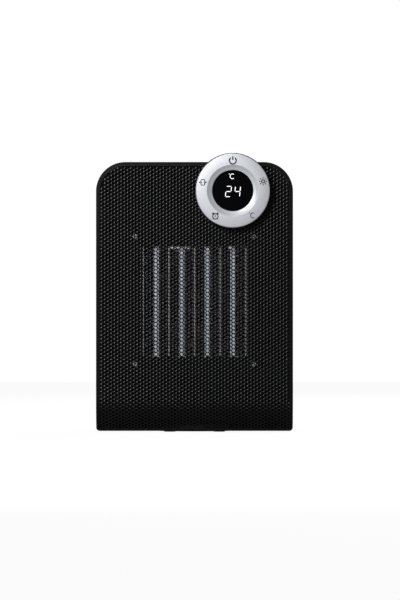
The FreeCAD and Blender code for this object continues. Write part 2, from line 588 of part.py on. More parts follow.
def heaterCore():
    bars, strips = [], []
    for index, centre in enumerate(barCentres):
        span = (f"{centre} - bar_width / 2", f"{centre} + bar_width / 2")
        depth = ("core_front + 2", f"{coreBack} - 2")
        bars.append(block(f"Bar{index}", span, depth, (f"{coreLow} - cap_height / 2",
                                                       f"{coreHigh} + cap_height / 2")))
        strips.append(finStrip(f"FinLeft{index}", f"({centre} - bar_width / 2 - {finWidth})",
                               f"({centre} - bar_width / 2)"))
        strips.append(finStrip(f"FinRight{index}", f"({centre} + bar_width / 2)",
                               f"({centre} + bar_width / 2 + {finWidth})"))
    node("ptc_bars", group("Bars", bars))
    node("ptc_fins", group("Fins", strips))
    plates = [block(f"Plate{index}", (f"{index - 2} * {cell} - plate_sheet / 2",
                                      f"{index - 2} * {cell} + plate_sheet / 2"),
                    ("core_front", coreBack), (coreLow, coreHigh)) for index in range(5)]
    node("fin_plates", group("Plates", plates))
    blades, bladeSlots = [], []
    for index, centre in enumerate(barCentres):
        span = (f"{centre} - blade_sheet / 2", f"{centre} + blade_sheet / 2")
        depth = ("core_front + 8", "core_front + 8 + blade_width")
        blades.append(block(f"Blade{index}", span, depth, (f"{coreHigh} + cap_height / 2",
                                                           f"{coreHigh} + cap_height + blade_reach")))
        bladeSlots.append(block(f"BladeSlot{index}", (f"{span[0]} - hole_gap", f"{span[1]} + hole_gap"),
                                (f"{depth[0]} - hole_gap", f"{depth[1]} + hole_gap"),
                                (f"{coreHigh} + cap_height / 2", f"{coreHigh} + cap_height + blade_reach")))
    node("ptc_terminals", group("Blades", blades))
    caps = []
    for name, low, high in (("Lower", f"{coreLow} - cap_height", coreLow),
                            ("Upper", coreHigh, f"{coreHigh} + cap_height")):
        cap = block(f"Cap{name}", ("-core_width / 2 - plate_sheet", "core_width / 2 + plate_sheet"),
                    ("core_front", coreBack), (low, high))
        sockets = [block(f"Socket{name}{index}", (f"{centre} - bar_width / 2", f"{centre} + bar_width / 2"),
                         ("core_front + 2", f"{coreBack} - 2"),
                         (f"{coreLow} - cap_height / 2", f"{coreHigh} + cap_height / 2"))
                   for index, centre in enumerate(barCentres)]
        caps.append(cut(f"CapCut{name}", cap, sockets + bladeSlots))
    node("ptc_end_caps", group("Caps", caps))
    return bladeSlots


def heaterFrame():
    outline = archOutline("wall + frame_gap", f"({curveLevel} - frame_drop)")
    plate = padded("FramePlate", "XZ_Plane", outline, "core_front - frame_sheet", "core_front")
    window = block("FrameWindow", ("-core_width / 2 - plate_sheet / 2", "core_width / 2 + plate_sheet / 2"),
                   ("core_front - frame_sheet - 1", "core_front + 1"), (coreLow, coreHigh))
    wires = rod("FrameWires", "y", "dial_x", "core_front - frame_sheet - 1", "dial_z", "neck - neck_wall",
                "frame_sheet + 2")
    body = cut("FramePlateCut", plate, [window, wires] + frameHoles)
    node("heater_frame", body)
    screws("frame_screws", "y", frameScrewSpots)


def airDuct(bladeSlots):
    room = "(core_width / 2 + duct_room)"
    low = f"({coreLow} - cap_height - 1)"
    high = f"({coreHigh} + cap_height + 1)"
    outer = block("DuctOuter", (f"-{room} - duct_wall", f"{room} + duct_wall"),
                  ("core_front", "shroud_front"),
                  (f"{low} - duct_wall", f"{high} + duct_wall"))
    inner = block("DuctInner", (f"-{room}", room), ("core_front - 1", "shroud_front + 1"), (low, high))
    ledges = []
    for name, spanZ in (("Low", (f"{low} - 1", f"{coreLow} - cap_height")),
                        ("High", (f"{coreHigh} + cap_height", f"{high} + 1"))):
        ledges.append(block(f"DuctLedge{name}", ("-core_width / 2", "core_width / 2"),
                            ("core_front", coreBack), spanZ))
    for side in (-1, 1):
        wall = "core_width / 2 + plate_sheet"
        span = (wall, f"{room} + 1") if side > 0 else (f"-{room} - 1", f"-({wall})")
        for end, spanZ in enumerate(((f"{coreLow} - cap_height", coreLow),
                                     (coreHigh, f"{coreHigh} + cap_height"))):
            ledges.append(block(f"DuctRib{side + 1}{end}", span, ("core_front", coreBack), spanZ))
    body = fuse("DuctBody", [cut("DuctTube", outer, [inner])] + ledges)
    node("air_duct", cut("Duct", body, bladeSlots))
    seat = f"({high} + duct_wall)"
    node("thermal_cutout", turned("Cutout", "z", "-26", "core_front + 28", seat,
                                  [("0", "0"), ("9", "0"), ("9", "1"), ("7.5", "1"), ("7.5", "5.5"),
                                   ("6.5", "6.5"), ("0", "6.5")]))


# Fan and motor

fanAxis = "core_centre"
bladeCount = 7


def fanUnit():
    plate = block("ShroudPlate", ("-shroud_half", "shroud_half"),
                  ("shroud_front", "shroud_front + shroud_sheet"),
                  (f"{fanAxis} - shroud_half", f"{fanAxis} + shroud_half"))
    tunnel = rod("FanTunnel", "y", "0", "shroud_front", fanAxis, "fan_bore + tunnel_wall",
                 "tunnel_back + shroud_sheet - shroud_front")
    arms = []
    for index in range(4):
        angle = 45 + 90 * index
        arm = doc.addObject("Part::Box", f"MotorArm{index}")
        turn = FreeCAD.Rotation(FreeCAD.Vector(0, 1, 0), -angle)
        start = turn.multVec(FreeCAD.Vector(value("motor_pad") - 2, 0, -3))
        arm.Placement = FreeCAD.Placement(FreeCAD.Vector(), turn)
        bind(arm, Length="fan_bore + tunnel_wall / 2 - motor_pad + 2", Width="2.5", Height="6")
        place(arm, f"(motor_pad - 2) / {value('motor_pad') - 2} * {start.x:.5f}", "tunnel_back",
              f"{fanAxis} + (motor_pad - 2) / {value('motor_pad') - 2} * {start.z:.5f}")
        arms.append(arm)
    padDisc = rod("MotorPad", "y", "0", "tunnel_back", fanAxis, "motor_pad", "2.5")
    padHole = rod("MotorPadHole", "y", "0", "tunnel_back - 1", fanAxis, "bush + 3", "5")
    longBore = rod("FanTunnelBore", "y", "0", "shroud_front - 1", fanAxis, "fan_bore",
                   "tunnel_back + 4 - shroud_front")
    shroud = fuse("ShroudWhole", [cut("ShroudShell", fuse("ShroudBody", [plate, tunnel]),
                                      [longBore])] + arms + [padDisc])
    node("fan_shroud", cut("Shroud", shroud, [padHole] + shroudHoles + motorHoles))
    screws("shroud_screws", "y", shroudScrewSpots, -1)


def bladeSection(radius, chord, twist, thickness):
    """A flat section across the blade at one radius, turned by its pitch."""
    along = FreeCAD.Vector(0, math.sin(math.radians(twist)), math.cos(math.radians(twist)))
    across = FreeCAD.Vector(0, along.z, -along.y)
    corners = [along * (sign * chord / 2) + across * (turn * thickness / 2)
               for sign, turn in ((-1, -1), (1, -1), (1, 1), (-1, 1))]
    return Part.makePolygon([FreeCAD.Vector(radius, corner.y, corner.z) for corner in corners + corners[:1]])


def fanBlade():
    """The hub cup with twisted blades, turned about the motor's axis."""
    hub, tip, depth = value("fan_hub"), value("fan_tip"), value("fan_depth")
    skin = value("fan_skin")
    sections = [bladeSection(radius, depth * chord, pitch, skin)
                for radius, chord, pitch in ((hub - 2, 1.1, 45), ((hub + tip) / 2, 1.4, 33),
                                             (tip + 3, 1.65, 25))]
    blade = Part.makeLoft(sections, True)
    turnHub = FreeCAD.Vector(0, 1, 0)
    centre = FreeCAD.Vector(0, 0, 0)
    core = Part.makeCylinder(hub, depth, FreeCAD.Vector(0, -depth / 2, 0), turnHub)
    blades = []
    for index in range(bladeCount):
        copy = blade.copy()
        copy.rotate(centre, turnHub, 360 * index / bladeCount)
        blades.append(copy)
    limit = Part.makeCylinder(tip, depth * 2, FreeCAD.Vector(0, -depth, 0), turnHub)
    solid = core.fuse(blades).common(limit)
    bore = Part.makeCylinder(value("shaft"), depth * 2, FreeCAD.Vector(0, -depth, 0), turnHub)
    item = doc.addObject("Part::Feature", "Fan")
    item.Shape = solid.cut(bore).removeSplitter()
    place(item, "0", "fan_front + fan_depth / 2", fanAxis)
    node("fan_blade", item)


frontBush = "(stator_front - bracket_stand - bracket_sheet)"
statorBack = "(stator_front + stator_depth)"
rearBush = f"({statorBack} + bracket_stand + bracket_sheet)"
motorScrewSpots = [(f"{side} * motor_screw_x", rearBush, fanAxis) for side in (-1, 1)]
motorHoles = drill("Motor", "y", motorScrewSpots, -1, "motor_screw_length")


def fanMotor():
    node("motor_shaft", rod("Shaft", "y", "0", "shaft_front", fanAxis, "shaft", "shaft_length"))
    rotorFront = "(stator_front + stator_depth / 2 - rotor_depth / 2)"
    node("motor_rotor", turned("Rotor", "y", "0", rotorFront, fanAxis,
                               [("shaft", "0"), ("rotor - 1", "0"), ("rotor", "1"),
                                ("rotor", "rotor_depth - 1"),
                                ("rotor - 1", "rotor_depth"), ("shaft", "rotor_depth")]))
    bushes, brackets = [], []
    for name, low in (("Front", f"({frontBush} - 1)"), ("Rear", f"({rearBush} + 1 - bush_length)")):
        bushes.append(turned(f"Bush{name}", "y", "0", low, fanAxis,
                             [("shaft + bush_running", "0"), ("bush", "0"),
                                                                   ("bush", "bush_length"),
                              ("shaft + bush_running", "bush_length")]))
    for name, low, legs in (("Front", frontBush, (f"{frontBush} + bracket_sheet", "stator_front")),
                            ("Rear", f"({rearBush} - bracket_sheet)",
                             (statorBack, f"{rearBush} - bracket_sheet"))):
        plate = block(f"Bracket{name}", ("-stator_half", "stator_half"), (low, f"{low} + bracket_sheet"),
                      (f"{fanAxis} - 8", f"{fanAxis} + 8"))
        sides = [block(f"BracketLeg{name}{side + 1}", ("stator_half - 8", "stator_half") if side > 0
                       else ("-stator_half", "8 - stator_half"),
                       legs, (f"{fanAxis} - 8", f"{fanAxis} + 8")) for side in (-1, 1)]
        hole = rod(f"BracketHole{name}", "y", "0", f"{low} - 1", fanAxis, "bush", "5")
        brackets.append(cut(f"BracketCut{name}", fuse(f"BracketBody{name}", [plate] + sides),
                            [hole] + motorHoles))
    node("motor_bushes", group("Bushes", bushes))
    node("motor_brackets", group("Brackets", brackets))
    spanY = ("stator_front", statorBack)
    stack = block("Stack", ("-stator_half", "stator_half"), spanY, (f"{fanAxis} - 36", f"{fanAxis} + 19"))
    bore = rod("StackBore", "y", "0", "stator_front - 1", fanAxis, "rotor + air_gap", "stator_depth + 2")
    window = block("StackWindow", ("-15", "15"), ("stator_front - 1", f"{statorBack} + 1"),
                   (f"{fanAxis} - 27", f"{fanAxis} - 16"))
    node("stator_core", cut("Stator", stack, [bore, window] + motorHoles))
    barLow, barHigh = f"({fanAxis} - 36)", f"({fanAxis} - 27)"
    skin, wall = "bobbin_skin", "(bobbin_skin + coil_wall)"
    room = block("CoilRoom", ("-20", "20"), ("stator_front", statorBack), (barLow, barHigh))
    sleeve = block("BobbinSleeve", ("-14", "14"), (f"stator_front - {skin}", f"{statorBack} + {skin}"),
                   (f"{barLow} - {skin}", f"{barHigh} + {skin}"))
    flanges = [block(f"BobbinFlange{index}", span, (f"stator_front - {wall} - 0.5",
                                                    f"{statorBack} + {wall} + 0.5"),
                     (f"{barLow} - {wall} - 0.5", f"{barHigh} + {wall} + 0.5")) for index,
               span in enumerate((("-14", "-13"), ("13", "14")))]
    node("coil_bobbin", cut("Bobbin", fuse("BobbinBody", [sleeve] + flanges), [room]))
    winding = block("Winding", ("-13", "13"), (f"stator_front - {wall}", f"{statorBack} + {wall}"),
                    (f"{barLow} - {wall}", f"{barHigh} + {wall}"))
    inside = block("WindingRoom", ("-14", "14"), (f"stator_front - {skin}", f"{statorBack} + {skin}"),
                   (f"{barLow} - {skin}", f"{barHigh} + {skin}"))
    node("motor_coil", cut("Coil", winding, [inside]))
    screws("motor_screws", "y", motorScrewSpots, -1, "motor_screw_length")


# Power electronics

def powerBoard():
    board = block("BoardSheet", ("-board_half", "board_half"), ("board_front", "board_front + board_sheet"),
                  ("board_low", "board_high"))
    node("power_board", cut("Board", board, boardHoles))
    screws("board_screws", "y", boardScrewSpots, -1)
    back = "(board_front + board_sheet)"

    def boxed(name, x, z, width, depth, height):
        return block(name, (str(x), f"{x} + {width}"), (back, f"{back} + {depth}"),
                     (str(z), f"{z} + {height}"))

    node("relays", group("Relays", [boxed("RelayLeft", -62, 222, 19, 15.5, 15),
                                    boxed("RelayRight", -38, 222, 19, 15.5, 15)]))
    node("capacitor", boxed("FilmCapacitor", -14, 224, 18, 8, 14))
    core = boxed("TransformerCore", 12, 206, 34, 14, 30)
    winding = boxed("TransformerWinding", 18, 203, 22, 20, 36)
    node("transformer", fuse("Transformer", [core, winding]))
    terminal = boxed("TerminalBody", -60, 202, 40, 11, 12)
    mouths = [rod(f"TerminalMouth{index}", "z", str(-55 + 10 * index), f"{back} + 6", "200", "2.6", "8")
              for index in range(4)]
    node("terminal_block", cut("Terminals", terminal, mouths))


# Control puck

def controlPuck():
    spot = ("dial_x", "front_face", "dial_z")

    def puck(name, points):
        """Half section with heights measured forwards from the casing's front face."""
        return turned(name, "y", *spot, [(point[0], f"-({point[1]})", *point[2:]) for point in points])

    floor = "cup_floor"
    cup = puck("CupBody", [("neck - neck_wall", "-neck_length"), ("neck", "-neck_length"), ("neck", "0"),
                           ("cup_radius - 0.6", "0"),
                           ("cup_radius", "0.6"), ("cup_radius", f"{floor} + cup_depth - 0.5"),
                           ("cup_radius - 0.5", f"{floor} + cup_depth"),
                           ("cup_radius - cup_wall", f"{floor} + cup_depth"),
                           ("cup_radius - cup_wall", floor), ("neck - neck_wall", floor)])
    node("dial_cup", cup)
    nutLow = "(front_face + sheet_setback + sheet_metal + frame_depth)"
    nut = turned("NutRing", "y", "dial_x", nutLow, "dial_z",
                 [("neck + hole_gap", "0"), ("neck + nut_wall", "0"),
                                                               ("neck + nut_wall", "nut_sheet"),
                  ("neck + hole_gap", "nut_sheet")])
    node("dial_nut", nut)
    face = "(front_face - dial_front)"
    under = f"({face} - ring_sheet)"
    edge = f"({face} - ring_drop)"
    skirt = "(skirt_outer - skirt_wall)"
    node("control_ring", puck("Ring", [("ring_bevel", f"{face} - bevel_sink - 1.2"),
                                       ("ring_bevel + 1.5", f"{face} - bevel_sink - ring_sheet + 0.4"),
                                       ("ring_flat", under), (skirt, under),
                                       (skirt, f"{under} - skirt_depth"),
                                       ("skirt_outer", f"{under} - skirt_depth"),
                                       ("skirt_outer", f"{under} - 0.8"),
                                       ("ring_radius", f"{under} - 0.8"), ("ring_radius", f"{edge} - 0.7"),
                                       ("ring_radius - 0.7", edge, "-ring_crown"), ("ring_flat", face),
                                       ("(ring_flat + ring_bevel) / 2", f"{face} - bevel_sink * 0.6"),
                                       ("ring_bevel", f"{face} - bevel_sink")]))
    node("display_lens", puck("Lens", [("0", f"{face} - lens_sink - lens_sheet"),
                                       ("ring_bevel - lens_gap", f"{face} - lens_sink - lens_sheet"),
                                       ("ring_bevel - lens_gap", f"{face} - lens_sink - 0.3"),
                                       ("ring_bevel - lens_gap - 0.3", f"{face} - lens_sink"),
                                       ("0", f"{face} - lens_sink")]))
    boardTop = f"({floor} + display_board_sheet)"
    boardFront = f"(front_face - {boardTop})"
    node("display_board", rod("BoardDisc", "y", "dial_x", boardFront, "dial_z", "display_board_radius",
                              "display_board_sheet"))
    lensBack = "(dial_front + lens_sink + lens_sheet)"
    node("digit_module", block("Digits", ("dial_x - 13", "dial_x + 13"), (lensBack, boardFront),
                               ("dial_z - 10", "dial_z + 10")))
    keySpots = around(5, 90, "key_circle", "dial_x", "dial_z")
    keys = []
    for index, (x, z) in enumerate(keySpots):
        case = block(f"KeyCase{index}", (f"{x} - key_half", f"{x} + key_half"),
                     (f"{boardFront} - key_body", boardFront),
                     (f"{z} - key_half", f"{z} + key_half"))
        button = rod(f"KeyButton{index}", "y", x, f"{boardFront} - key_body - key_button", z,
                     "key_button_radius", "key_button")
        keys.append(fuse(f"Key{index}", [case, button]))
    node("key_switches", group("Keys", keys))
    pads = [rod(f"ReturnPad{index}", "y", x, f"{boardFront} - key_body - key_button", z, "pad_radius",
                "key_body + key_button")
            for index, (x, z) in enumerate(around(5, 54, "key_circle - 1.5", "dial_x", "dial_z"))]
    node("return_pads", group("Pads", pads))


# Mains inlet side and tip-over switch

rockerTilt = 9


def mainsSwitch():
    pivotY = "(back_face - rocker_pivot)"
    wall, half, reach = "switch_wall", "rocker_half", "(rocker_reach + 1)"
    low = "(back_face - switch_depth)"
    body = block("SwitchBody", (f"rocker_x - {half} - {wall}", f"rocker_x + {half} + {wall}"),
                 (low, "back_face"),
                 (f"rocker_z - {reach} - {wall}", f"rocker_z + {reach} + {wall}"))
    flange = block("SwitchFlange", (f"rocker_x - {half} - {wall} - 1.5", f"rocker_x + {half} + {wall} + 1.5"),
                   ("back_face", "back_face + flange_sheet"), (f"rocker_z - {reach} - {wall} - 1.5",
                                                               f"rocker_z + {reach} + {wall} + 1.5"))
    room = block("SwitchRoom", (f"rocker_x - {half} - 0.3", f"rocker_x + {half} + 0.3"),
                 (f"{low} + 2", "back_face + 2"),
                 (f"rocker_z - {reach}", f"rocker_z + {reach}"))
    holes = rod("SwitchPinHole", "x", f"rocker_x - {half} - 1.6", pivotY, "rocker_z",
                "rocker_pin + hub_running", f"2 * {half} + 3.2")
    node("switch_body", cut("Switch", fuse("SwitchWhole", [body, flange]), [room, holes]))
    section = [("-5", "-2.2"), ("-1", "-rocker_reach"), ("2.1", "-rocker_reach"), ("0.9", "0"),
               ("2.1", "rocker_reach"),
               ("-1", "rocker_reach"), ("-5", "2.2")]
    rocker = padded("RockerBody", "YZ_Plane", section, f"-{half}", half)
    pin = rod("RockerPin", "x", f"-{half} - 1.5", "0", "0", "rocker_pin", f"2 * {half} + 3")
    whole = fuse("Rocker", [rocker, pin])
    whole.Placement = FreeCAD.Placement(FreeCAD.Vector(), FreeCAD.Rotation(FreeCAD.Vector(1, 0, 0),
                                                                           rockerTilt))
    place(whole, "rocker_x", pivotY, "rocker_z")
    node("switch_rocker", whole)
    start = "(back_face + flange_sheet - gland_length)"
    node("cord_gland", turned("Gland", "y", "gland_x", start, "gland_z",
                              [("gland_bore", "0"), ("gland_body", "0"),
                               ("gland_body", "gland_length - flange_sheet"),
                               ("gland_flange", "gland_length - flange_sheet"),
                               ("gland_flange", "gland_length - 0.3"),
                               ("gland_flange - 0.3", "gland_length"), ("gland_bore", "gland_length")]))
    wallFace = "(back_face - wall)"
    probe = turned("ProbeBead", "y", "0", f"{wallFace} - 9", "58", [("0", "0"), ("1.6", "1.5"), ("1.6", "7"),
                                                                    ("3.5", "7"), ("3.5", "9"), ("0", "9")])
    node("air_sensor", probe)


def tiltSwitch():
    floor = "(base_lift + base_sheet + glide_sheet + seat_gap + pan_sheet)"
    spanX = ("tilt_x - tilt_half", "tilt_x + tilt_half")
    spanY = ("tilt_y - tilt_depth / 2", "tilt_y + tilt_depth / 2")
    box = block("TiltBox", spanX, spanY, (floor, f"{floor} + tilt_height"))
    room = block("TiltRoom", (f"{spanX[0]} + tilt_wall", f"{spanX[1]} - tilt_wall"),
                 (f"{spanY[0]} + tilt_wall", f"{spanY[1]} - tilt_wall"),
                 (f"{floor} + tilt_wall", f"{floor} + tilt_height - tilt_wall"))
    pinZ = f"({floor} + tilt_height - 6)"
    pinHole = rod("TiltPinHole", "y", "tilt_x", f"{spanY[0]} - 1", pinZ, "tilt_pin", "tilt_depth + 2")
    node("tilt_case", cut("TiltCase", box, [room, pinHole]))
    node("tilt_pin", rod("TiltPin", "y", "tilt_x", spanY[0], pinZ, "tilt_pin", "tilt_depth"))
    eye = rod("TiltEye", "y", "tilt_x", "tilt_y - 2", pinZ, "tilt_pin + 1.5", "4")
    arm = block("TiltArm", ("tilt_x - 1", "tilt_x + 1"), ("tilt_y - 1.5", "tilt_y + 1.5"),
                (f"{pinZ} - 12", pinZ))
    bob = rod("TiltBob", "y", "tilt_x", "tilt_y - 4", f"{pinZ} - 12", "tilt_bob", "8")
    hole = rod("TiltEyeHole", "y", "tilt_x", "tilt_y - 6", pinZ, "tilt_pin + hub_running", "12")
    node("tilt_pendulum", cut("TiltPendulum", fuse("TiltHanger", [eye, arm, bob]), [hole]))


housingShell()
rearCover()
screws("cover_screws", "y", coverScrewSpots, -1, "screw_length + 10")
bottomPan()
screws("pan_screws", "z", panScrewSpots)
frontGrille()
grilleFrame()
turntable()
swingDrive()
slotsForBlades = heaterCore()
heaterFrame()
airDuct(slotsForBlades)
fanUnit()
fanBlade()
fanMotor()
powerBoard()
controlPuck()
mainsSwitch()
tiltSwitch()

doc.recompute()
for item in doc.Objects:
    if "Invalid" in item.State or "Error" in item.State:
        raise RuntimeError(f"{item.Name} failed: {item.State}")
for label, item in nodes.items():
    if item.Shape.isNull() or not item.Shape.isValid():
        raise RuntimeError(f"{label} has no valid shape")
for label, item in nodes.items():
    item.Shape.exportStep(f"parts/{label}.step")
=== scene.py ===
import math
import bpy
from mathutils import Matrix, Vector


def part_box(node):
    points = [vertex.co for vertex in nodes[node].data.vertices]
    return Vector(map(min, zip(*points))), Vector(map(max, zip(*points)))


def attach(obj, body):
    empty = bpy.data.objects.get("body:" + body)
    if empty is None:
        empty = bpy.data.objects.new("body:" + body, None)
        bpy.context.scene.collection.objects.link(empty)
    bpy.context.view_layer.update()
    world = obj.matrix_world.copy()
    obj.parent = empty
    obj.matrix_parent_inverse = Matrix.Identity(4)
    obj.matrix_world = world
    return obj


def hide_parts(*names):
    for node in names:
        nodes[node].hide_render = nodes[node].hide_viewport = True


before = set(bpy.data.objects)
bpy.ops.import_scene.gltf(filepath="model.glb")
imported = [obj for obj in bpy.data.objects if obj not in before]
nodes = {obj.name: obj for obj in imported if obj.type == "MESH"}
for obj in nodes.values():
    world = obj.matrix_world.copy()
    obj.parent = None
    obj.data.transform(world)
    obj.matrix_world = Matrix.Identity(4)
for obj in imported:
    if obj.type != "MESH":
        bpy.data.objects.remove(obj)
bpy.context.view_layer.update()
mm = 0.001
print("frame loaded:", len(nodes), "nodes")


# Shader helpers

class Field:
    # a value socket that can be added, multiplied and compared in plain Python
    def __init__(self, finish, socket):
        self.finish = finish
        self.socket = socket

    def maths(self, operation, first, second):
        return self.finish.node("ShaderNodeMath", {"operation": operation}, {0: first, 1: second})

    def __add__(self, other):
        return self.maths("ADD", self, other)

    __radd__ = __add__

    def __mul__(self, other):
        return self.maths("MULTIPLY", self, other)

    __rmul__ = __mul__

    def __sub__(self, other):
        return self.maths("SUBTRACT", self, other)

    def __rsub__(self, other):
        return self.maths("SUBTRACT", other, self)

    def __gt__(self, other):
        return self.maths("GREATER_THAN", self, other)

    def __lt__(self, other):
        return self.maths("LESS_THAN", self, other)

    def __abs__(self):
        return self.maths("ABSOLUTE", self, 0.0)


class Finish:
    # one material: its Principled shader and the pattern nodes that feed it
    def __init__(self, name, **constants):
        self.material = bpy.data.materials.new(name)
        self.material.use_nodes = True
        self.tree = self.material.node_tree
        self.shader = self.tree.nodes["Principled BSDF"]
        self.place = self.node("ShaderNodeTexCoord", {}, {}, "Object")
        for socket, number in constants.items():
            self.shader.inputs[socket.replace("_", " ")].default_value = number

    def node(self, kind, settings, inputs, output=0):
        made = self.tree.nodes.new(kind)
        for name, setting in settings.items():
            if name == "stops":
                ramp = made.color_ramp
                while len(ramp.elements) < len(setting):
                    ramp.elements.new(0.5)
                for element, (position, colour) in zip(ramp.elements, setting):
                    element.position = position
                    element.color = colour
            else:
                setattr(made, name, setting)
        for name, value in inputs.items():
            if isinstance(value, Field):
                self.tree.links.new(value.socket, made.inputs[name])
            else:
                made.inputs[name].default_value = value
        return Field(self, made.outputs[output])

    def feed(self, socket, field):
        self.tree.links.new(field.socket, self.shader.inputs[socket])

    def noise(self, scale, detail=3.0, stretch=(1, 1, 1)):
        spot = self.node("ShaderNodeMapping", {}, {"Vector": self.place, "Scale": stretch})
        return self.node("ShaderNodeTexNoise", {}, {"Vector": spot, "Scale": scale, "Detail": detail}, "Fac")

    def cellular(self, scale, feature="F1", stretch=(1, 1, 1)):
        spot = self.node("ShaderNodeMapping", {}, {"Vector": self.place, "Scale": stretch})
        inputs = {"Vector": spot, "Scale": scale}
        return self.node("ShaderNodeTexVoronoi", {"feature": feature}, inputs, "Distance")

    def axis(self, name):
        return self.node("ShaderNodeSeparateXYZ", {}, {0: self.place}, name)

    def ramp(self, field, *stops):
        return self.node("ShaderNodeValToRGB", {"stops": stops}, {"Fac": field})

    def between(self, field, low, high):
        return self.node("ShaderNodeMapRange", {}, {"Value": field, "To Min": low, "To Max": high})

    def blend(self, amount, first, second):
        return self.node("ShaderNodeMix", {"data_type": "RGBA"}, {0: amount, 6: first, 7: second}, 2)

    def bump(self, field, depth, strength=1.0):
        inputs = {"Height": field, "Distance": depth, "Strength": strength}
        self.feed("Normal", self.node("ShaderNodeBump", {}, inputs))


def shade(colour, factor=1.0):
    return tuple(channel * factor for channel in colour) + (1.0,)


# Finishes

plasticSettings = {
    # colour, roughness low and high, grain scale per metre, grain depth
    "shellGloss": ((0.0025, 0.0025, 0.0030), 0.24, 0.34, 900, 0.000010),
    "coverGrain": ((0.016, 0.016, 0.018), 0.46, 0.62, 2600, 0.000060),
    "innerBlack": ((0.0012, 0.0012, 0.0014), 0.60, 0.80, 1500, 0.000030),
    "insulator": ((0.50, 0.46, 0.38), 0.55, 0.75, 1400, 0.000030),
    "fanPlastic": ((0.030, 0.030, 0.034), 0.30, 0.45, 1200, 0.000020),
    "nylon": ((0.74, 0.73, 0.68), 0.35, 0.50, 1000, 0.000015),
    "gearBlack": ((0.012, 0.012, 0.013), 0.40, 0.55, 1000, 0.000015),
    "slipRing": ((0.82, 0.82, 0.80), 0.30, 0.42, 900, 0.000010),
    "rubber": ((0.018, 0.018, 0.018), 0.65, 0.85, 2200, 0.000050),
    "filterFoam": ((0.006, 0.006, 0.006), 0.80, 0.95, 1900, 0.000080),
    "silicone": ((0.34, 0.34, 0.34), 0.40, 0.55, 1000, 0.000015),
    "caseBlack": ((0.020, 0.020, 0.021), 0.35, 0.55, 1600, 0.000025),
    "relayBlue": ((0.03, 0.10, 0.36), 0.35, 0.50, 1500, 0.000020),
    "filmYellow": ((0.70, 0.50, 0.05), 0.35, 0.50, 1500, 0.000020),
    "terminalGreen": ((0.05, 0.30, 0.13), 0.40, 0.55, 1500, 0.000020),
    "rockerGloss": ((0.012, 0.012, 0.013), 0.14, 0.24, 900, 0.000008),
}

# specular levels of the plastics that shine less than most
plasticShine = {"shellGloss": 0.12, "innerBlack": 0.04, "coverGrain": 0.40, "filterFoam": 0.05}

metalSettings = {
    # colour, roughness low and high, streak direction, streak scale, streak depth
    "zincSteel": ((0.60, 0.61, 0.63), 0.22, 0.42, (1, 1, 1), 900, 0.000012),
    "motorSteel": ((0.24, 0.25, 0.27), 0.35, 0.55, (0.2, 14, 0.2), 420, 0.000060),
    "rotorMetal": ((0.50, 0.51, 0.53), 0.30, 0.50, (1, 0.15, 1), 700, 0.000020),
    "brass": ((0.74, 0.53, 0.24), 0.22, 0.40, (1, 1, 0.15), 900, 0.000010),
    "bronze": ((0.40, 0.26, 0.12), 0.40, 0.60, (1, 1, 1), 1800, 0.000030),
    "barAluminium": ((0.82, 0.88, 0.98), 0.42, 0.58, (1, 1, 0.03), 1400, 0.000020),
    "tinPlate": ((0.95, 0.95, 0.96), 0.40, 0.55, (1, 1, 1), 900, 0.000010),
    "finAluminium": ((0.66, 0.64, 0.61), 0.42, 0.58, (1, 1, 1), 800, 0.000020),
}


def mouldedPlastic(name, settings):
    colour, smooth, rough, grainScale, depth = settings
    finish = Finish(name, Specular_IOR_Level=plasticShine.get(name, 0.5))
    cloud = finish.noise(38, 4)
    grain = finish.noise(grainScale, 2)
    dust = finish.cellular(grainScale * 0.6)
    finish.feed("Base Color", finish.blend(cloud, shade(colour, 0.80), shade(colour, 1.25)))
    finish.feed("Roughness", finish.between(cloud * 0.6 + grain * 0.4, smooth, rough))
    finish.bump(grain * 0.6 + dust * 0.4, depth)
    return finish.material


def workedMetal(name, settings):
    colour, smooth, rough, stretch, scale, depth = settings
    finish = Finish(name, Metallic=1.0)
    streak = finish.noise(scale, 3, stretch)
    wear = finish.noise(55, 4)
    mottle = streak * 0.5 + wear * 0.5
    finish.feed("Base Color", finish.blend(mottle, shade(colour, 0.78), shade(colour, 1.12)))
    finish.feed("Roughness", finish.between(mottle, smooth, rough))
    finish.bump(streak, depth)
    return finish.material


def grilleEnamel():
    # baked black enamel: orange peel, with a cloudy spread of tone and shine
    finish = Finish("grilleEnamel", Specular_IOR_Level=0.22)
    peel = finish.noise(1300, 2)
    cloud = finish.noise(45, 4)
    finish.feed("Base Color", finish.blend(cloud, (0.0016, 0.0016, 0.0020, 1), (0.0036, 0.0036, 0.0042, 1)))
    finish.feed("Roughness", finish.between(cloud * 0.5 + peel * 0.5, 0.24, 0.40))
    finish.bump(peel, 0.000014)
    return finish.material


def ringSilver():
    # satin silver paint with a fine metallic flake
    finish = Finish("ringSilver", Metallic=0.45)
    flake = finish.cellular(5200)
    cloud = finish.noise(60, 4)
    sparkle = flake * 0.7 + cloud * 0.3
    finish.feed("Base Color", finish.blend(sparkle, (0.50, 0.51, 0.54, 1), (0.62, 0.64, 0.68, 1)))
    finish.feed("Roughness", finish.between(flake * 0.4 + cloud * 0.6, 0.42, 0.54))
    finish.bump(flake, 0.000006)
    return finish.material


def lensGloss():
    finish = Finish("lensGloss", Specular_IOR_Level=0.3)
    cloud = finish.noise(50, 3)
    finish.feed("Base Color", finish.blend(cloud, (0.0008, 0.0008, 0.0010, 1), (0.0016, 0.0016, 0.0020, 1)))
    finish.feed("Roughness", finish.between(cloud, 0.05, 0.10))
    finish.bump(finish.noise(700, 2), 0.000002)
    return finish.material


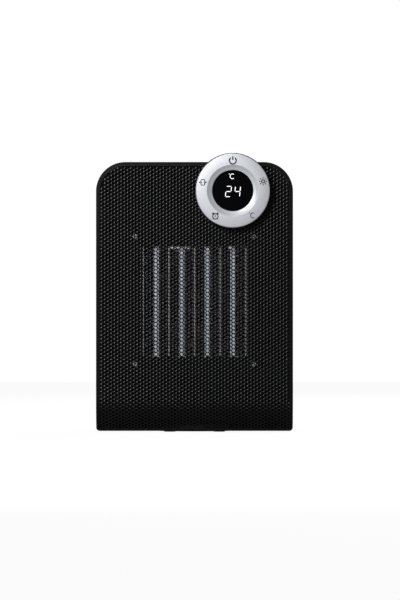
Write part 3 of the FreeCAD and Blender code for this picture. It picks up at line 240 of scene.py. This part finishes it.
def circuitBoard():
    # green lacquer over straight copper tracks
    finish = Finish("circuitBoard", Specular_IOR_Level=0.25)
    lanes = finish.axis("X") * 240.0 + finish.noise(30, 1) * 3.0
    across = finish.node("ShaderNodeMath", {"operation": "FRACT"}, {0: lanes})
    track = abs(across - 0.5) < 0.22
    fibre = finish.noise(1800, 2)
    finish.feed("Base Color", finish.blend(track, (0.003, 0.016, 0.008, 1), (0.008, 0.036, 0.017, 1)))
    finish.feed("Roughness", finish.between(fibre, 0.28, 0.42))
    finish.bump(track * 0.7 + fibre * 0.3, 0.000020)
    return finish.material


def copperWinding():
    # enamelled wire laid turn beside turn
    finish = Finish("copperWinding", Metallic=1.0)
    turns = finish.node("ShaderNodeTexWave", {"bands_direction": "X", "wave_profile": "SIN"},
                        {"Vector": finish.place, "Scale": 700.0, "Distortion": 0.6, "Detail": 1.0}, "Fac")
    # the turns' wave also sets the colour: painted shade in the gaps between turns and a painted highlight on each
    # turn's crown
    finish.feed("Base Color", finish.blend(turns, (0.26, 0.08, 0.03, 1), (0.72, 0.30, 0.13, 1)))
    finish.feed("Roughness", finish.between(finish.noise(300, 2), 0.22, 0.38))
    finish.bump(turns, 0.00012)
    return finish.material


def printInk():
    finish = Finish("printInk", Specular_IOR_Level=0.12)
    speck = finish.noise(2500, 2)
    finish.feed("Base Color", finish.blend(speck, (0.003, 0.003, 0.005, 1), (0.008, 0.009, 0.012, 1)))
    finish.feed("Roughness", finish.between(speck, 0.55, 0.70))
    return finish.material


def displayGlow():
    finish = Finish("displayGlow", Roughness=0.5, Emission_Strength=0.95)
    speck = finish.noise(900, 2)
    finish.feed("Emission Color", finish.blend(speck, (0.80, 0.83, 0.80, 1), (1.0, 1.0, 0.98, 1)))
    finish.feed("Base Color", finish.blend(speck, (0.60, 0.60, 0.60, 1), (0.70, 0.70, 0.70, 1)))
    return finish.material


finishes = {name: mouldedPlastic(name, settings) for name, settings in plasticSettings.items()}
finishes.update({name: workedMetal(name, settings) for name, settings in metalSettings.items()})
specialFinishes = (grilleEnamel, ringSilver, lensGloss, circuitBoard, copperWinding, printInk, displayGlow)
finishes.update({made.__name__: made() for made in specialFinishes})

nodeFinish = {
    "shellGloss": ["housing_shell", "dial_cup"],
    "coverGrain": ["rear_cover", "bottom_pan", "base_plate", "switch_body"],
    "grilleEnamel": ["front_grille"],
    "innerBlack": ["grille_frame", "heater_frame", "air_duct", "fan_shroud", "dial_nut"],
    "insulator": ["ptc_end_caps"],
    "barAluminium": ["ptc_bars"],
    "finAluminium": ["ptc_fins", "fin_plates"],
    "brass": ["ptc_terminals", "tilt_pendulum"],
    "zincSteel": ["cover_screws", "pan_screws", "gear_screws", "swing_motor", "swing_motor_screws",
                  "frame_screws", "thermal_cutout", "shroud_screws", "motor_shaft", "motor_brackets",
                  "motor_screws", "board_screws", "tilt_pin"],
    "motorSteel": ["stator_core"],
    "rotorMetal": ["motor_rotor"],
    "bronze": ["motor_bushes"],
    "copperWinding": ["motor_coil"],
    "fanPlastic": ["fan_blade"],
    "nylon": ["coil_bobbin"],
    "gearBlack": ["swing_gear", "swing_pinion"],
    "slipRing": ["glide_ring"],
    "rubber": ["base_feet", "cord_gland"],
    "filterFoam": ["inlet_filter"],
    "silicone": ["return_pads"],
    "ringSilver": ["control_ring"],
    "lensGloss": ["display_lens"],
    "circuitBoard": ["power_board", "display_board"],
    "caseBlack": ["transformer", "digit_module", "key_switches", "air_sensor", "tilt_case"],
    "relayBlue": ["relays"],
    "filmYellow": ["capacitor"],
    "terminalGreen": ["terminal_block"],
    "rockerGloss": ["switch_rocker"],
}
for finishName, members in nodeFinish.items():
    for member in members:
        nodes[member].data.materials.clear()
        nodes[member].data.materials.append(finishes[finishName])
print("finishes made:", len(finishes))


# Modelling helpers

def deselect():
    if bpy.context.mode != "OBJECT":
        bpy.ops.object.mode_set(mode="OBJECT")
    bpy.ops.object.select_all(action="DESELECT")


def only(piece):
    # the one piece that the next operators act on
    deselect()
    bpy.context.view_layer.objects.active = piece
    piece.select_set(True)


def placed(name, data):
    # a new object that holds a curve, a light or a camera
    holder = bpy.data.objects.new(name, data)
    bpy.context.collection.objects.link(holder)
    return holder


def named(piece, name):
    piece.name = name
    piece.data.name = name
    return piece


def applyModifier(piece, kind, **settings):
    only(piece)
    modifier = piece.modifiers.new(kind.title(), kind)
    for name, value in settings.items():
        setattr(modifier, name, value)
    bpy.ops.object.modifier_apply(modifier=modifier.name)


def repeated(piece, count, step, **merging):
    applyModifier(piece, "ARRAY", count=count, use_relative_offset=False, use_constant_offset=True,
                  constant_offset_displace=step, **merging)


def joined(pieces, name):
    deselect()
    for piece in pieces:
        piece.select_set(True)
    bpy.context.view_layer.objects.active = pieces[0]
    if len(pieces) > 1:
        bpy.ops.object.join()
    bpy.ops.object.transform_apply(location=True, rotation=True, scale=True)
    return named(bpy.context.view_layer.objects.active, name)


def editing(piece, component):
    # opens a piece in edit mode with nothing selected
    only(piece)
    bpy.ops.object.mode_set(mode="EDIT")
    bpy.ops.mesh.select_mode(type=component)
    bpy.ops.mesh.select_all(action="DESELECT")
    bpy.ops.object.mode_set(mode="OBJECT")


def pickFaces(piece, test):
    editing(piece, "FACE")
    for face in piece.data.polygons:
        face.select = bool(test(face))
    bpy.ops.object.mode_set(mode="EDIT")


def pickVerts(piece, test):
    editing(piece, "VERT")
    for vertex in piece.data.vertices:
        vertex.select = bool(test(vertex))
    bpy.ops.object.mode_set(mode="EDIT")


def smoothed(piece, degrees):
    only(piece)
    bpy.ops.object.shade_smooth_by_angle(angle=math.radians(degrees))


def finished(piece, finish, body, slot, *replaced):
    piece.data.materials.clear()
    piece.data.materials.append(finishes[finish])
    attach(piece, body)
    if replaced:
        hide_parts(*replaced)
    return piece


# Perforated front sheet

grilleSettings = {
    "columns": 58, "rowPitch": 3.617 * mm, "holeRadius": 1.42 * mm, "thickness": 0.6 * mm, "crown": 0.26 * mm,
    "cornerRadius": 25.5 * mm, "curveRadius": 35.4 * mm, "curveHeight": 29.4 * mm, "puckClear": 24 * mm,
    "keepInside": 0.3 * mm, "rimInset": 0.05 * mm, "weld": 0.02 * mm,
    # the folded edge
    "sideHem": 0.7 * mm, "topHem": 0.9 * mm, "topFade": 20 * mm, "hemProud": 0.15 * mm, "hemEdge": 0.12 * mm,
    "cornerSteps": 18, "bendCuts": 12,
}
sheetLow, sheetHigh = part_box("front_grille")
halfSheet = sheetHigh.x
curveCentre = Vector((0, sheetLow.y + grilleSettings["curveRadius"], sheetLow.z + grilleSettings["curveHeight"]))
curveEnd = math.asin((curveCentre.z - sheetLow.z) / grilleSettings["curveRadius"])
flatTravel = sheetHigh.z - curveCentre.z
sheetTravel = flatTravel + curveEnd * grilleSettings["curveRadius"]


def sheetSpot(x, travel, depth):
    # travel runs down the sheet from its top edge; depth goes into the heater
    radius = grilleSettings["curveRadius"]
    if travel <= flatTravel:
        return Vector((x, sheetLow.y + depth, sheetHigh.z - travel))
    angle = (travel - flatTravel) / radius
    reach = radius - depth
    return Vector((x, curveCentre.y - reach * math.cos(angle), curveCentre.z - reach * math.sin(angle)))


def insideOutline(x, travel, margin):
    # pulls a spot in to the sheet's rounded outline
    radius = grilleSettings["cornerRadius"] - margin
    half = halfSheet - margin
    x = max(-half, min(half, x))
    travel = max(margin, min(sheetTravel - margin, travel))
    cornerX, cornerTravel = half - radius, margin + radius
    if abs(x) > cornerX and travel < cornerTravel:
        away = Vector((abs(x) - cornerX, cornerTravel - travel))
        if away.length > radius:
            away = away.normalized() * radius
            x = math.copysign(cornerX + away.x, x)
            travel = cornerTravel - away.y
    return x, travel


def hexRing(cellRadius, level, fall):
    # a flat hexagon with its middle cut out, sinking by fall towards the hole
    wallShare = math.cos(math.radians(30))
    deselect()
    bpy.ops.mesh.primitive_circle_add(vertices=6, radius=cellRadius, fill_type="NGON",
                                      rotation=(0, 0, math.radians(30)), location=(0, 0, level))
    ring = bpy.context.object
    bpy.ops.object.transform_apply(location=True, rotation=True)
    bpy.ops.object.mode_set(mode="EDIT")
    bpy.ops.mesh.select_mode(type="FACE")
    bpy.ops.mesh.select_all(action="SELECT")
    bpy.ops.mesh.inset(thickness=(cellRadius - grilleSettings["holeRadius"]) * wallShare, depth=-fall)
    bpy.ops.mesh.delete(type="ONLY_FACE")
    bpy.ops.object.mode_set(mode="OBJECT")
    return ring


def perforatedSheet():
    settings = grilleSettings
    rowPitch = settings["rowPitch"]
    columnPitch = rowPitch * math.sqrt(3) / 2
    cellRadius = rowPitch / math.sqrt(3)
    front = hexRing(cellRadius, 0, settings["crown"])
    back = hexRing(cellRadius, -settings["thickness"], 0)
    cell = joined([front, back], "grilleCell")
    pickVerts(cell, lambda vertex: vertex.co.to_2d().length < cellRadius * 0.9)
    bpy.ops.mesh.select_mode(type="EDGE")
    bpy.ops.mesh.bridge_edge_loops()
    bpy.ops.mesh.select_all(action="SELECT")
    bpy.ops.mesh.normals_make_consistent(inside=False)
    bpy.ops.object.mode_set(mode="OBJECT")
    cellVerts = len(cell.data.vertices)
    deselect()
    cell.select_set(True)
    bpy.ops.object.duplicate()
    second = bpy.context.object
    second.location = (columnPitch, rowPitch / 2, 0)
    sheet = joined([cell, second], "grilleSheet")
    rows = int(sheetTravel / rowPitch) + 2
    repeated(sheet, settings["columns"] // 2 + 1, (2 * columnPitch, 0, 0))
    repeated(sheet, rows, (0, -rowPitch, 0))
    places = [vertex.co.copy() for vertex in sheet.data.vertices]
    firstColumn = -settings["columns"] / 2 * columnPitch
    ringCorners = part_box("control_ring")
    dialCentre = (ringCorners[0] + ringCorners[1]) / 2
    spare = set()
    for start in range(0, len(places), cellVerts):
        centre = sum(places[start:start + cellVerts], Vector()) / cellVerts
        x, travel = firstColumn + centre.x, -centre.y
        pulledX, pulledTravel = insideOutline(x, travel, settings["keepInside"])
        outside = abs(pulledX - x) + abs(pulledTravel - travel) > 0.01 * mm
        underPuck = math.hypot(x - dialCentre.x, sheetHigh.z - travel - dialCentre.z) < settings["puckClear"]
        if outside or underPuck:
            spare.update(range(start, start + cellVerts))
    pickVerts(sheet, lambda vertex: vertex.index in spare)
    bpy.ops.mesh.delete(type="VERT")
    bpy.ops.mesh.select_all(action="SELECT")
    bpy.ops.mesh.remove_doubles(threshold=settings["weld"])
    bpy.ops.object.mode_set(mode="OBJECT")
    for vertex in sheet.data.vertices:
        x, travel = insideOutline(firstColumn + vertex.co.x, -vertex.co.y, settings["rimInset"])
        vertex.co = sheetSpot(x, travel, -vertex.co.z)
    smoothed(sheet, 45)
    print("front sheet:", len(sheet.data.polygons), "faces")
    return sheet


def sheetHem():
    # the folded edge round the perforated sheet
    settings = grilleSettings
    deselect()
    bpy.ops.mesh.primitive_plane_add(size=1)
    hem = bpy.context.object
    hem.scale = (2 * halfSheet, sheetTravel, 1)
    hem.location = (0, -sheetTravel / 2, 0)
    bpy.ops.object.transform_apply(location=True, scale=True)
    pickVerts(hem, lambda vertex: vertex.co.y > -1 * mm)
    bpy.ops.mesh.bevel(offset=settings["cornerRadius"], segments=settings["cornerSteps"], affect="VERTICES")
    bpy.ops.object.mode_set(mode="OBJECT")
    pickFaces(hem, lambda face: True)
    bpy.ops.mesh.inset(thickness=settings["sideHem"])
    bpy.ops.object.mode_set(mode="OBJECT")
    wider = settings["topHem"] - settings["sideHem"]
    fadeStart = -settings["topHem"] - settings["topFade"]
    for vertex in hem.data.vertices:
        if vertex.select and vertex.co.y > fadeStart:
            vertex.co.y -= wider * min(1.0, (vertex.co.y - fadeStart) / settings["topFade"])
    pickFaces(hem, lambda face: len(face.vertices) > 4)
    bpy.ops.mesh.delete(type="ONLY_FACE")
    bpy.ops.mesh.select_all(action="SELECT")
    bpy.ops.mesh.extrude_region_move(TRANSFORM_OT_translate={"value": (0, 0, settings["hemProud"])})
    bpy.ops.mesh.select_all(action="SELECT")
    bpy.ops.mesh.normals_make_consistent(inside=False)
    bpy.ops.object.mode_set(mode="OBJECT")
    applyModifier(hem, "BEVEL", width=settings["hemEdge"], segments=2, limit_method="ANGLE")
    for step in range(settings["bendCuts"]):
        level = -flatTravel - (sheetTravel - flatTravel) * step / settings["bendCuts"]
        pickFaces(hem, lambda face: True)
        bpy.ops.mesh.bisect(plane_co=(0, level, 0), plane_no=(0, 1, 0))
        bpy.ops.object.mode_set(mode="OBJECT")
    for vertex in hem.data.vertices:
        vertex.co = sheetSpot(vertex.co.x, -vertex.co.y, -vertex.co.z)
    hem.data.flip_normals()
    smoothed(hem, 40)
    return named(hem, "grilleHem")


finished(perforatedSheet(), "grilleEnamel", "heater", "grille_paint", "front_grille")
finished(sheetHem(), "grilleEnamel", "heater", "grille_paint")


# Heater core seen through the holes

coreSettings = {
    "bars": 4, "barWidth": 5 * mm, "plate": 0.8 * mm,
    "foldPitch": 2.3 * mm, "foldInset": 0.5 * mm, "foil": 0.16 * mm,
    # left and right ends of each contact strip
    "tabSpans": ((-24.2 * mm, -10.5 * mm), (-9.0 * mm, -3.8 * mm), (33.0 * mm, 38.5 * mm)),
    "tabHeight": 2.4 * mm, "tabThickness": 0.5 * mm, "tabForward": 0.35 * mm, "tabDrop": 0.1 * mm,
    "tabEdge": 0.12 * mm,
}


def finPacks():
    # corrugated foil between each bar and its neighbours
    settings = coreSettings
    low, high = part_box("ptc_fins")
    barPitch = (high.x - low.x + settings["plate"]) / settings["bars"]
    strip = (barPitch - settings["barWidth"] - settings["plate"]) / 2
    folds = int((high.z - low.z) / settings["foldPitch"] / 2)
    pitch = (high.z - low.z) / folds / 2
    front, back = low.y + settings["foldInset"], high.y - settings["foldInset"]
    packs = []
    for index in range(2 * settings["bars"]):
        middle = (index // 2 - (settings["bars"] - 1) / 2) * barPitch
        side = -1 if index % 2 == 0 else 1
        edge = middle + side * settings["barWidth"] / 2
        deselect()
        bpy.ops.mesh.primitive_plane_add(size=1)
        pack = bpy.context.object
        corners = ((0, front), (0, back), (1, front), (1, back))
        for vertex, (reach, depth) in zip(pack.data.vertices, corners):
            vertex.co = (edge + side * strip * reach, depth, low.z + pitch * reach)
        pickVerts(pack, lambda vertex: vertex.co.z > low.z + pitch / 2)
        bpy.ops.mesh.select_mode(type="EDGE")
        bpy.ops.mesh.extrude_edges_move(TRANSFORM_OT_translate={"value": (-side * strip, 0, pitch)})
        bpy.ops.object.mode_set(mode="OBJECT")
        repeated(pack, folds, (0, 0, 2 * pitch), use_merge_vertices=True, merge_threshold=0.01 * mm)
        applyModifier(pack, "SOLIDIFY", thickness=settings["foil"], offset=0)
        packs.append(pack)
    return joined(packs, "finPacks")


finished(finPacks(), "finAluminium", "heater", "fin_aluminium", "ptc_fins")


def contactTabs():
    # tinned ends of the contact strips in front of the foil
    settings = coreSettings
    low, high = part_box("fin_plates")
    tabs = []
    for left, right in settings["tabSpans"]:
        deselect()
        bpy.ops.mesh.primitive_cube_add(size=1)
        tab = bpy.context.object
        tab.scale = (right - left, settings["tabThickness"], settings["tabHeight"])
        tab.location = ((left + right) / 2, low.y - settings["tabForward"],
                        high.z - settings["tabHeight"] / 2 - settings["tabDrop"])
        bpy.ops.object.transform_apply(location=True, scale=True)
        applyModifier(tab, "BEVEL", width=settings["tabEdge"], segments=2)
        tabs.append(tab)
    return joined(tabs, "contactTabs")


finished(contactTabs(), "tinPlate", "heater", "fin_aluminium")


# Key ring print and display

ringLow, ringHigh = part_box("control_ring")
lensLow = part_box("display_lens")[0]
dial = (ringLow + ringHigh) / 2
printSettings = {"line": 1.12 * mm, "rise": 0.05 * mm, "flatEdge": 24.9 * mm, "outerEdge": 34.9 * mm,
                 "drop": 1.1 * mm, "crown": 60 * mm}
displaySettings = {"height": 10.6 * mm, "stroke": 0.66 * mm, "gap": 0.10, "slant": 6.0, "rise": 0.04 * mm,
                   "digitDrop": 0.9 * mm, "unitAcross": -0.3 * mm, "unitUp": 13.7 * mm}
letterWidth = 5.0 * mm


def stroke(points, width, closed=False):
    # a flat ribbon with round ends along points in the face's plane
    data = bpy.data.curves.new("stroke", "CURVE")
    data.dimensions = "3D"
    data.bevel_depth = width / 2
    data.bevel_resolution = 3
    data.use_fill_caps = True
    line = data.splines.new("POLY")
    line.points.add(len(points) - 1)
    for point, (x, z) in zip(line.points, points):
        point.co = (x, 0, z, 1)
    line.use_cyclic_u = closed
    only(placed("stroke", data))
    bpy.ops.object.convert(target="MESH")
    return bpy.context.object


def arcPoints(x, z, radius, first, last, steps=28):
    turns = [math.radians(first + (last - first) * step / steps) for step in range(steps + 1)]
    return [(x + radius * math.cos(turn), z + radius * math.sin(turn)) for turn in turns]


def ringFace(x, z):
    # the key ring's face falls away from its inner edge along an arc
    settings = printSettings
    first, last = Vector((settings["flatEdge"], 0)), Vector((settings["outerEdge"], settings["drop"]))
    chord = last - first
    rise = math.sqrt(settings["crown"] ** 2 - chord.length_squared / 4)
    centre = (first + last) / 2 + Vector((-chord.y, chord.x)).normalized() * rise
    reach = max(math.hypot(x - dial.x, z - dial.z), settings["flatEdge"])
    return ringLow.y + centre.y - math.sqrt(settings["crown"] ** 2 - (reach - centre.x) ** 2)


def lensFace(x, z):
    return lensLow.y


def laidOn(strokes, name, x, z, face, rise, slant=0.0):
    # flattens the strokes and lays them on a face at (x, z)
    piece = joined(strokes, name)
    thick = max(abs(vertex.co.y) for vertex in piece.data.vertices)
    lean = math.tan(math.radians(slant))
    for vertex in piece.data.vertices:
        spotX, spotZ = x + vertex.co.x + vertex.co.z * lean, z + vertex.co.z
        vertex.co = (spotX, face(spotX, spotZ) + vertex.co.y / thick * rise, spotZ)
    smoothed(piece, 40)
    return piece


def degreeMark(height, line, ringSpot, ringRadius, ringLine):
    # an open letter C and its degree ring
    letter = [(x * letterWidth / height, z) for x, z in arcPoints(0, 0, (height - line) / 2, 52, 308)]
    return [stroke(letter, line), stroke(arcPoints(*ringSpot, ringRadius, 0, 340, 12), ringLine, True)]


def powerIcon():
    line = printSettings["line"]
    ring = stroke(arcPoints(0, -0.3 * mm, 3.25 * mm, 125, 415), line * 1.15)
    return [ring, stroke([(0, 0.4 * mm), (0, 3.7 * mm)], line * 1.25)]


def heatIcon():
    line = printSettings["line"] * 0.85
    turns = [math.radians(45 * index) for index in range(8)]
    ends = (2.7 * mm, 3.9 * mm)
    rays = [stroke([(end * math.cos(turn), end * math.sin(turn)) for end in ends], line) for turn in turns]
    return [stroke(arcPoints(0, 0, 1.5 * mm, 0, 350), line, True)] + rays


def timerIcon():
    line = printSettings["line"] * 0.85
    face = stroke(arcPoints(0, -0.3 * mm, 2.6 * mm, 0, 350), line, True)
    sides = (-1, 1)
    bells = [stroke([(side * 1.5 * mm, 3.1 * mm), (side * 2.9 * mm, 2.0 * mm)], line * 1.5) for side in sides]
    feet = [stroke([(side * 1.7 * mm, -2.4 * mm), (side * 2.3 * mm, -3.1 * mm)], line) for side in sides]
    hands = stroke([(0.5 * mm, 1.3 * mm), (0, -0.4 * mm), (-0.8 * mm, -0.7 * mm)], line * 0.8)
    return [face, hands] + bells + feet


def swingIcon():
    # a body seen from above between two arrows' tails
    line = printSettings["line"] * 0.8
    right = [(1.35, 2.7), (2.0, 1.3), (1.25, 0), (2.0, -1.3), (1.35, -2.7)]
    left = [(-x, -z) for x, z in right]
    body = stroke([(x * mm, z * mm) for x, z in left[-1:] + right + left[:-1]], line, True)
    bars = [stroke([(side * 2.2 * mm, 0), (side * 3.6 * mm, 0)], line * 1.5) for side in (-1, 1)]
    return [body] + bars


def degreeIcon():
    return degreeMark(5.6 * mm, 0.80 * mm, (-3.2 * mm, 2.5 * mm), 0.30 * mm, 0.46 * mm)


icons = {
    # drawing, place across and up from the middle of the ring
    "powerMark": (powerIcon, 0.1 * mm, 29.1 * mm),
    "heatMark": (heatIcon, 29.2 * mm, 8.8 * mm),
    "unitMark": (degreeIcon, 19.3 * mm, -24.0 * mm),
    "timerMark": (timerIcon, -16.7 * mm, -24.6 * mm),
    "swingMark": (swingIcon, -28.8 * mm, 7.9 * mm),
}
for iconName, (drawIcon, across, up) in icons.items():
    mark = laidOn(drawIcon(), iconName, dial.x + across, dial.z + up, ringFace, printSettings["rise"])
    finished(mark, "printInk", "key_ring", "ring_silver")
print("key ring printed")

# ends of each lit segment in quarters of a digit's height
segmentEnds = {"top": ((-1, 2), (1, 2)), "upperRight": ((1, 2), (1, 0)), "lowerRight": ((1, 0), (1, -2)),
               "bottom": ((-1, -2), (1, -2)), "lowerLeft": ((-1, 0), (-1, -2)), "upperLeft": ((-1, 2), (-1, 0)),
               "middle": ((-1, 0), (1, 0))}
digits = {"2": ("top", "upperRight", "middle", "lowerLeft", "bottom"),
          "4": ("upperLeft", "upperRight", "middle", "lowerRight")}


def digit(figure, centre):
    width = displaySettings["stroke"]
    quarter = (displaySettings["height"] - width) / 4
    strokes = []
    for segment in digits[figure]:
        start, end = [Vector(spot) * quarter + Vector((centre, 0)) for spot in segmentEnds[segment]]
        pull = (end - start) * displaySettings["gap"]
        strokes.append(stroke([tuple(start + pull), tuple(end - pull)], width))
    return strokes


figures = laidOn(digit("2", -4.1 * mm) + digit("4", 4.6 * mm), "displayFigures", dial.x,
                 dial.z - displaySettings["digitDrop"], lensFace, displaySettings["rise"], displaySettings["slant"])
finished(figures, "displayGlow", "heater", "lens_black")
unitStrokes = degreeMark(5.3 * mm, 0.60 * mm, (-2.9 * mm, 2.3 * mm), 0.28 * mm, 0.34 * mm)
unit = laidOn(unitStrokes, "displayUnit", dial.x + displaySettings["unitAcross"],
              dial.z + displaySettings["unitUp"], lensFace, displaySettings["rise"])
finished(unit, "displayGlow", "heater", "lens_black")
print("display lit")


# Stage, lights and camera

stageSettings = {"floorSize": 6, "floorWhite": 1.08, "floorShare": 0.88, "roomColour": (0.92, 0.95, 1.0, 1),
                 "roomLight": 0.05, "roomWhite": 1.02, "roomShare": 1.0}


def seenWhite(tree, lit, strength, share):
    # plain white for the camera, while the light that reaches the object stays as given
    sight = tree.nodes.new("ShaderNodeLightPath")
    white = tree.nodes.new("ShaderNodeEmission")
    white.inputs["Strength"].default_value = strength
    amount = tree.nodes.new("ShaderNodeMath")
    amount.operation = "MULTIPLY"
    amount.inputs[1].default_value = share
    mixed = tree.nodes.new("ShaderNodeMixShader")
    tree.links.new(sight.outputs["Is Camera Ray"], amount.inputs[0])
    tree.links.new(amount.outputs[0], mixed.inputs[0])
    tree.links.new(lit, mixed.inputs[1])
    tree.links.new(white.outputs[0], mixed.inputs[2])
    return mixed.outputs[0]


def stage():
    settings = stageSettings
    finish = Finish("stageFloor")
    finish.feed("Base Color", finish.blend(finish.noise(3, 2), (0.36, 0.36, 0.37, 1), (0.42, 0.42, 0.42, 1)))
    finish.feed("Roughness", finish.between(finish.noise(40, 2), 0.7, 0.85))
    surface = finish.tree.nodes["Material Output"].inputs["Surface"]
    white = seenWhite(finish.tree, finish.shader.outputs[0], settings["floorWhite"], settings["floorShare"])
    finish.tree.links.new(white, surface)
    deselect()
    bpy.ops.mesh.primitive_plane_add(size=settings["floorSize"], location=(0, 0, 0))
    floor = named(bpy.context.object, "stageFloor")
    floor.data.materials.append(finish.material)
    world = bpy.data.worlds.new("studio")
    bpy.context.scene.world = world
    world.use_nodes = True
    tree = world.node_tree
    room = tree.nodes["Background"]
    room.inputs["Color"].default_value = settings["roomColour"]
    room.inputs["Strength"].default_value = settings["roomLight"]
    white = seenWhite(tree, room.outputs[0], settings["roomWhite"], settings["roomShare"])
    tree.links.new(white, tree.nodes["World Output"].inputs["Surface"])


lights = {
    # place, aim, width, height, power
    "keyLight": ((-0.80, -1.30, 0.95), (0.02, 0.0, 0.18), 0.45, 0.45, 23),
    "frontLight": ((-0.20, -1.80, 0.62), (0.0, 0.0, 0.13), 0.30, 0.30, 5.5),
    "topLight": ((-0.10, -0.10, 1.50), (0.0, 0.0, 0.15), 0.5, 0.5, 5),
    "rightStrip": ((1.35, -0.25, 0.45), (0.0, 0.0, 0.13), 0.25, 1.0, 2),
    "leftStrip": ((-1.35, 0.15, 0.45), (0.0, 0.0, 0.13), 0.25, 1.0, 3),
    "backLight": ((0.7, 1.5, 0.8), (0.0, 0.0, 0.13), 0.8, 0.6, 26),
}


def lamp(name, place, aim, width, height, power):
    data = bpy.data.lights.new(name, "AREA")
    data.shape = "RECTANGLE"
    data.size, data.size_y, data.energy = width, height, power
    holder = placed(name, data)
    holder.location = place
    holder.rotation_euler = (Vector(aim) - Vector(place)).to_track_quat("-Z", "Y").to_euler()


cameraSettings = {"distance": 5.0, "viewHeight": 0.5787, "across": 0.0053, "height": 0.1279}


def camera():
    # a long lens, level, square on to the front
    settings = cameraSettings
    data = bpy.data.cameras.new("frontCamera")
    data.sensor_fit = "VERTICAL"
    data.lens = data.sensor_height * settings["distance"] / settings["viewHeight"]
    holder = placed("frontCamera", data)
    holder.location = (settings["across"], sheetLow.y - settings["distance"], settings["height"])
    holder.rotation_euler = (math.radians(90), 0, 0)
    bpy.context.scene.camera = holder


stage()
for lampName, facts in lights.items():
    lamp(lampName, *facts)
camera()
bpy.context.scene.view_settings.view_transform = "Standard"
print("stage set")
